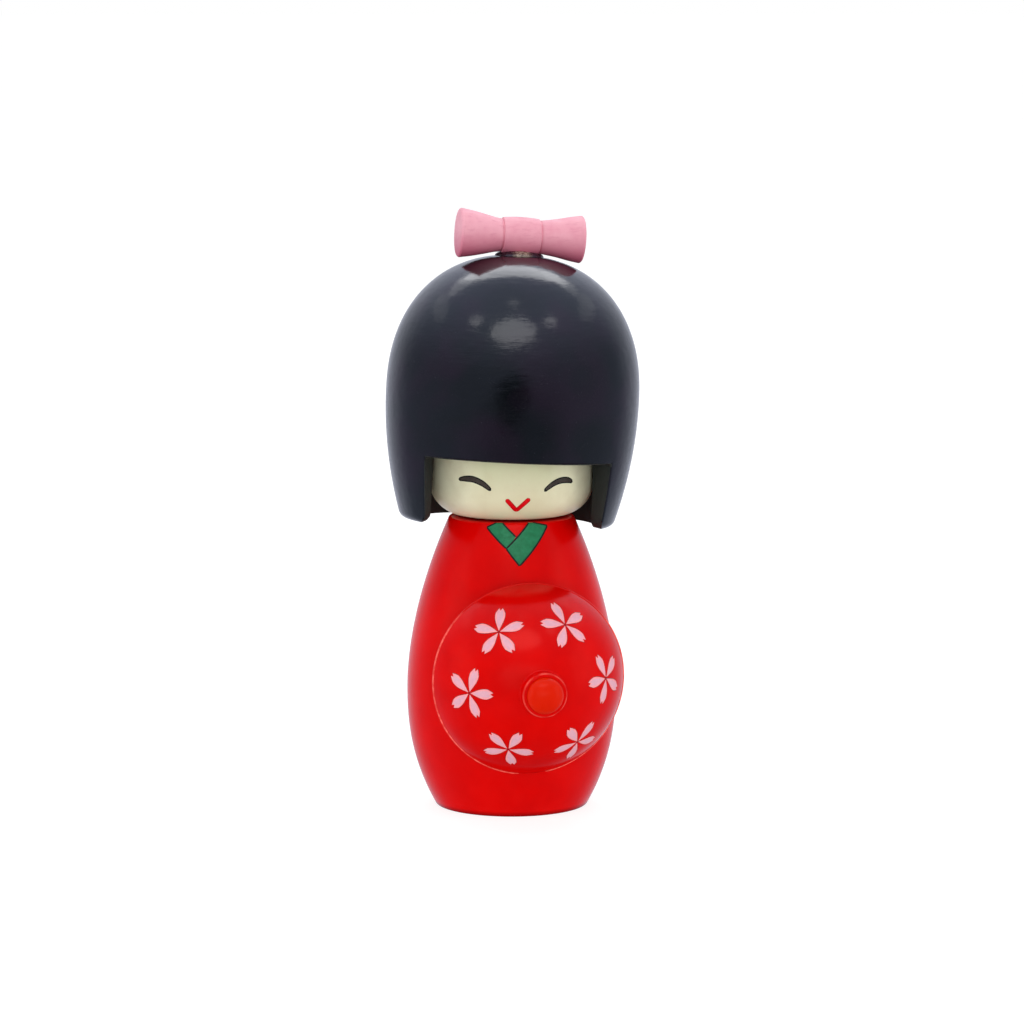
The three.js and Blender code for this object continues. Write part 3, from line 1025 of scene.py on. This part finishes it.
def hair_lacquer():
    """Near-black blue paint with a satin gloss that shows the strokes of a soft brush."""
    shader = Shader("hair_lacquer_paint")
    blotches = shader.noise(11, 4, 0.6)
    brushed = shader.noise(0.9, 4, 0.65, (0.16, 0.16, 1.0))
    cool = shader.mix(shader.ramp(blotches, 0.35, 0.68), srgb(9, 12, 15), srgb(13, 16, 22))
    violet = shader.ramp(shader.noise(14), 0.45, 0.65, 0, 0.8)
    tone = shader.mix(violet, cool, srgb(25, 13, 27))
    dust = shader.ramp(shader.noise(0.3, 1, 0.5), 0.74, 0.8, 0, 0.35)
    shader.set(Base_Color=shader.mix(dust, tone, srgb(70, 72, 80)), IOR=1.5)
    shader.set(Roughness=shader.ramp(brushed, 0.3, 0.7, 0.1, 0.2))
    shader.bump((shader.noise(7, 2, 0.55), 0.09), (shader.noise(2.2), 0.035), (brushed, 0.035),
                (shader.noise(0.45, 2, 0.6), 0.0022))
    return shader.material


def face_paint():
    """Cream satin paint, slightly uneven; darker and greener towards the fringe, partly a tint and
    partly painted shade, and paler at the sides as painted light where the locks shade them.
    """
    shader = Shader("face_cream")
    # darker, greener towards the fringe: partly the paint's tint, partly painted shade from the fringe
    front = shader.mix(shader.height(72, 79), srgb(226, 221, 186), srgb(216, 219, 176))
    aside = shader.math("ABSOLUTE", shader.along((1, 0, 0)))
    # paler towards the sides: painted light where the locks shade the face
    tone = shader.mix(shader.ramp(aside, 7 * MM, 13 * MM), front, srgb(250, 247, 213))
    blotches = shader.ramp(shader.noise(5, 3, 0.55), 0.4, 0.7, 0, 0.35)
    uneven = shader.mix(blotches, tone, srgb(212, 201, 163))
    specks = shader.ramp(shader.noise(0.4, 2, 0.6), 0.68, 0.78, 0, 0.25)
    shader.set(Base_Color=shader.mix(specks, uneven, srgb(180, 165, 125)), IOR=1.45)
    shader.set(Roughness=shader.ramp(shader.noise(2.5), 0.3, 0.7, 0.3, 0.42))
    shader.bump((shader.noise(3.5), 0.012), (shader.noise(0.6, 2, 0.6), 0.002))
    return shader.material


def bow_paint():
    """Matt pink paint brushed round the turned bow, with the grain showing faintly, and painted
    shade that darkens its underside over the hair cap."""
    shader = Shader("bow_pink")
    grain = shader.noise(0.8, 4, 0.65, (0.25, 1.0, 1.0))
    clouds = shader.ramp(shader.noise(4, 3, 0.6), 0.35, 0.7)
    clean = shader.mix(clouds, srgb(238, 169, 184), srgb(231, 155, 172))
    streaked = shader.mix(shader.ramp(grain, 0.52, 0.75, 0, 0.5), clean, srgb(214, 130, 150))
    # painted shade: darker, deeper pink on the bow's underside, above the hair cap
    underside_shade = shader.height(122.6, 127.6, 1, 0, tilt=0.065)
    shader.set(Base_Color=shader.mix(underside_shade, streaked, srgb(198, 98, 124)), IOR=1.35)
    shader.set(Roughness=shader.ramp(grain, 0.3, 0.7, 0.42, 0.58))
    shader.bump((grain, 0.01), (shader.noise(0.4, 2, 0.6), 0.003))
    return shader.material


# Small areas of thin hand paint: two tones, the size of their patches and the roughness.
PAINTS = {
    "eye_brown": ((74, 66, 60), (58, 50, 46), 0.9, 0.4),
    "line_dark": ((26, 28, 22), (18, 17, 14), 0.8, 0.4),
    "mouth_red": ((228, 2, 18), (205, 0, 14), 0.8, 0.3),
    "mouth_edge_red": ((190, 6, 16), (166, 4, 12), 0.6, 0.35),
    "collar_green": ((38, 129, 85), (28, 110, 70), 1.1, 0.35),
    "petal_outline": ((146, 2, 16), (104, 2, 20), 0.6, 0.35),
    "petal_edge_pink": ((255, 172, 174), (251, 154, 160), 0.7, 0.45),
    "petal_lilac": ((238, 176, 192), (224, 168, 184), 0.8, 0.45),
    # hair_inside: lighter grey than the outside lacquer, a painted reflection standing in for the grey
    # sheen of the cap's inner faces
    "hair_inside": ((38, 43, 43), (49, 54, 52), 2.5, 0.8),
}


def paint(name):
    """The hand paint of that name, which covers unevenly between its two tones."""
    if name in bpy.data.materials:
        return bpy.data.materials[name]
    colour, other, size, roughness = PAINTS[name]
    shader = Shader(name)
    patches = shader.ramp(shader.noise(size, 4, 0.65), 0.35, 0.68)
    shader.set(Base_Color=shader.mix(patches, srgb(*colour), srgb(*other)), IOR=1.3)
    shader.set(Roughness=shader.ramp(patches, 0, 1, roughness * 0.85, min(roughness * 1.2, 1.0)))
    shader.bump((shader.noise(size * 0.4, 3, 0.6), 0.004))
    return shader.material


def glue():
    """Glue tinted by the dark lacquer under it, with a pale yellowish band from front to back, a
    painted highlight broken into cloudy patches.
    """
    shader = Shader("dried_glue")
    # painted highlight: a pale yellowish band down the middle of the glue, broken into cloudy patches
    across = shader.along((1, 0, 0))
    left = shader.ramp(across, -0.2 * MM, 1.2 * MM)
    right = shader.ramp(across, 3.2 * MM, 4.6 * MM, 1, 0)
    cloud = shader.ramp(shader.noise(0.8, 3, 0.6), 0.3, 0.6)
    highlight_band = shader.math("MULTIPLY", shader.math("MULTIPLY", left, right), cloud)
    shader.set(Base_Color=shader.mix(highlight_band, srgb(46, 30, 40), srgb(176, 158, 138)), IOR=1.5)
    shader.set(Roughness=shader.ramp(cloud, 0, 1, 0.15, 0.35))
    shader.bump((shader.noise(0.7), 0.03))
    return shader.material


def bare_beech():
    """Sanded beech: pale, with rings along the dowel and the short dark flecks of its rays."""
    shader = Shader("beech")
    rings = shader.noise(1.4, 4, 0.6, (1.0, 1.0, 0.06))
    flecks = shader.ramp(shader.noise(0.35, 2, 0.5, (1.0, 1.0, 0.15)), 0.66, 0.74, 0, 0.6)
    tone = shader.mix(shader.ramp(rings, 0.35, 0.68), srgb(222, 190, 146), srgb(199, 160, 115))
    shader.set(Base_Color=shader.mix(flecks, tone, srgb(150, 108, 72)))
    shader.set(Roughness=shader.ramp(rings, 0.3, 0.7, 0.55, 0.75))
    shader.bump((rings, 0.02), (flecks, 0.01))
    return shader.material


# ---------------- camera, floor and light

CAMERA_AZIMUTH = -4.5
CAMERA_DISTANCE = 880.0
CAMERA_HEIGHT = 179.04
TARGET_HEIGHT = 65.52
TARGET_ASIDE = 0.1
LENS = 140.37


def aim(thing, at):
    """Turns a camera or a lamp so that it looks at a point."""
    thing.rotation_euler = (at - thing.location).to_track_quat("-Z", "Y").to_euler()


def build_camera():
    camera = add_object("camera", bpy.data.cameras.new("camera"))
    camera.data.lens = LENS
    camera.data.sensor_width = 36
    camera.data.clip_start = 0.05
    camera.data.clip_end = 100
    back = direction_of(CAMERA_AZIMUTH, 0)
    target = Vector((0, 0, TARGET_HEIGHT)) + direction_of(CAMERA_AZIMUTH + 90, 0) * TARGET_ASIDE
    eye = target + back * CAMERA_DISTANCE
    eye.z = CAMERA_HEIGHT
    camera.location = eye * MM
    aim(camera, target * MM)
    bpy.context.scene.camera = camera


FLOOR_GLOW = 0.84


def build_floor():
    """A wide white floor that the doll stands on, which throws no light of its own at it."""
    size = 40.0
    level = -0.00003
    corners = [(-size, -size, level), (size, -size, level), (size, size, level), (-size, size, level)]
    mesh = bpy.data.meshes.new("floor")
    mesh.from_pydata(corners, [], [(0, 1, 2, 3)])
    floor = add_object("floor", mesh)
    white = Shader("floor_white")
    white.set(Base_Color=(0.3, 0.3, 0.3), Roughness=0.9, Specular_IOR_Level=0.0)
    white.set(Emission_Color=(1, 1, 1), Emission_Strength=FLOOR_GLOW)
    mesh.materials.append(white.material)
    floor.visible_glossy = False
    floor.visible_diffuse = False
    floor.visible_shadow = False


# Lamps that light the doll: azimuth, elevation, width, height, radiance.
LAMPS = [
    (0, 5, 56, 26, 2.6),
    (-75, 6, 36, 40, 2.35),
    (75, 6, 36, 40, 2.1),
    (180, 30, 60, 40, 1.0),
    (180, 74, 60, 50, 2.0),
]

# Windows and soft boxes that the gloss shows, in the same terms.
REFLECTIONS = [
    (0, 46, 38, 24, 2.2),
    (-50, 50, 11, 8, 2.1),
    (50, 50, 11, 8, 2.1),
    (0, 74, 8, 5, 1.6),
    (-112, 40, 30, 12, 0.4),
    (112, 40, 30, 12, 0.4),
    (-145, 51, 34, 14, 0.9),
    (145, 51, 34, 14, 0.7),
    (178, 57, 50, 22, 3.0),
]


def add_lamp(azimuth, elevation, width, height, radiance, in_gloss):
    """A soft oval lamp aimed at the doll's middle, azimuth degrees round from the camera, that
    either lights the doll or is only seen in its gloss. Width and height are in degrees."""
    distance = 1.5
    lamp = add_object("lamp", bpy.data.lights.new("lamp", "AREA"))
    data = lamp.data
    data.shape = "ELLIPSE"
    spans = [2 * distance * tan(radians(angle / 2)) for angle in (width, height)]
    data.size, data.size_y = spans
    data.energy = radiance * pi * (pi / 4) * data.size * data.size_y
    middle = Vector((0, 0, 0.08))
    lamp.location = middle + direction_of(azimuth + CAMERA_AZIMUTH, elevation) * distance
    aim(lamp, middle)
    lamp.visible_camera = False
    lamp.visible_diffuse = not in_gloss
    lamp.visible_glossy = in_gloss


def build_light():
    build_world()
    for lamp in LAMPS:
        add_lamp(*lamp, in_gloss=False)
    for lamp in REFLECTIONS:
        add_lamp(*lamp, in_gloss=True)


def dark_spot(nodes, direction, spread, inner, outer, least):
    """Least near one direction and 1 away from it. Spread scales the distance on each axis."""
    away = nodes.vector("MULTIPLY", nodes.vector("SUBTRACT", nodes.place, direction), spread)
    distance = nodes.vector("LENGTH", away, output="Value")
    return nodes.ramp(distance, inner, outer, least, 1.0, "SMOOTHSTEP")


def build_world():
    """A light tent, white to the eye. It lights the doll a little more from below, where the
    table is. What the gloss shows of it is dim and bluish round the horizon, brighter overhead
    and behind, dimmer underneath and at the tripod, and dark where the camera stands."""
    world = bpy.data.worlds.new("tent")
    bpy.context.scene.world = world
    world.use_nodes = True
    world.node_tree.nodes.clear()
    nodes = Nodes(world.node_tree, "Generated")
    up = nodes.along((0, 0, 1))
    backwards = nodes.along(direction_of(CAMERA_AZIMUTH + 180, 10))
    overhead = nodes.ramp(up, 0.1, 0.95, 0.3, 0.88, "SMOOTHSTEP")
    under = nodes.ramp(up, -0.85, -0.45, 0.2, 1.0, "SMOOTHSTEP")
    behind = nodes.math("MULTIPLY", nodes.ramp(backwards, 0.3, 1.0, 0.0, 0.45, "SMOOTHSTEP"), under)
    camera = dark_spot(nodes, direction_of(CAMERA_AZIMUTH + 0.6, 1.5), (4.3, 1.6, 7.2), 0.7, 1.5, 0.0)
    tripod = dark_spot(nodes, direction_of(CAMERA_AZIMUTH + 8, -12), (1.2, 1.0, 2.5), 0.3, 1.1, 0.5)
    level = nodes.math("MULTIPLY", overhead, under)
    for shade in (camera, tripod):
        level = nodes.math("MULTIPLY", level, shade)
    shades = nodes.ramp(up, -0.4, 0.4, 0.7, 0.55, "SMOOTHSTEP")
    lit = nodes.add("Background", (1, 1, 1), shades)
    tent = nodes.add("Background", (0.86, 0.97, 1.32), level)
    rear = nodes.add("Background", (1, 1, 1.04), behind)
    shown = nodes.add("AddShader", tent, rear)
    seen = nodes.add("Background", (1, 1, 1), 1.0)
    path = nodes.new("LightPath").outputs
    unseen = nodes.add("MixShader", path["Is Glossy Ray"], lit, shown)
    by_eye = nodes.add("MixShader", path["Is Camera Ray"], unseen, seen)
    nodes.feed(nodes.new("OutputWorld").inputs["Surface"], by_eye)


# ---------------- putting it together


def dress(piece, body, material=None, stands_for=None):
    """Gives a piece its material, its CAD body and what it replaces."""
    if material is not None:
        coat(piece, [material])
    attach(piece, body)
    if stands_for is not None:
        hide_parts(stands_for)


def build_doll():
    parasol = parasol_frame()
    hair = hair_frame()

    dress(build_body(parasol), "body_group", red_lacquer(), "body")
    body_surface = TurnedSurface(body_radius)
    dress(build_collar(body_surface), "body_group")

    dress(build_canopy(parasol), "body_group", stands_for="parasol_canopy")
    dress(build_knob(parasol), "body_group", knob_lacquer(), "parasol_finial")
    dome = DomeSurface(parasol)
    for number, (polar, around) in enumerate(BLOSSOMS):
        dress(build_blossom(number + 1, dome, polar, around), "body_group")

    dress(build_head(), "head_group", face_paint(), "head")
    head_surface = TurnedSurface(head_radius)
    dress(build_eye("eye_left", LEFT_EYE, head_surface), "head_group")
    dress(build_eye("eye_right", RIGHT_EYE, head_surface), "head_group")
    dress(build_mouth(head_surface), "head_group")

    dress(build_hair_cap(hair), "head_group", stands_for="hair_cap")
    dress(build_bow(hair), "head_group", bow_paint(), "bow")
    dress(build_glue(hair), "head_group", glue())

    wood = bare_beech()
    for name in ("neck_dowel", "parasol_peg"):
        coat(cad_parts[name], [wood])


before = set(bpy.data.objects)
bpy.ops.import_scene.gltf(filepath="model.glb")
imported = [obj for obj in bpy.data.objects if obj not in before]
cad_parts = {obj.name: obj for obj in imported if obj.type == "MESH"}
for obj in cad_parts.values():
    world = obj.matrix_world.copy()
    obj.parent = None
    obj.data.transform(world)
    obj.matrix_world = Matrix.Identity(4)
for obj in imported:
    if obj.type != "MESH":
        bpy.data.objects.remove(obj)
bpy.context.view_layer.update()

build_doll()
build_camera()
build_floor()
build_light()
bpy.context.scene.view_settings.view_transform = "Standard"
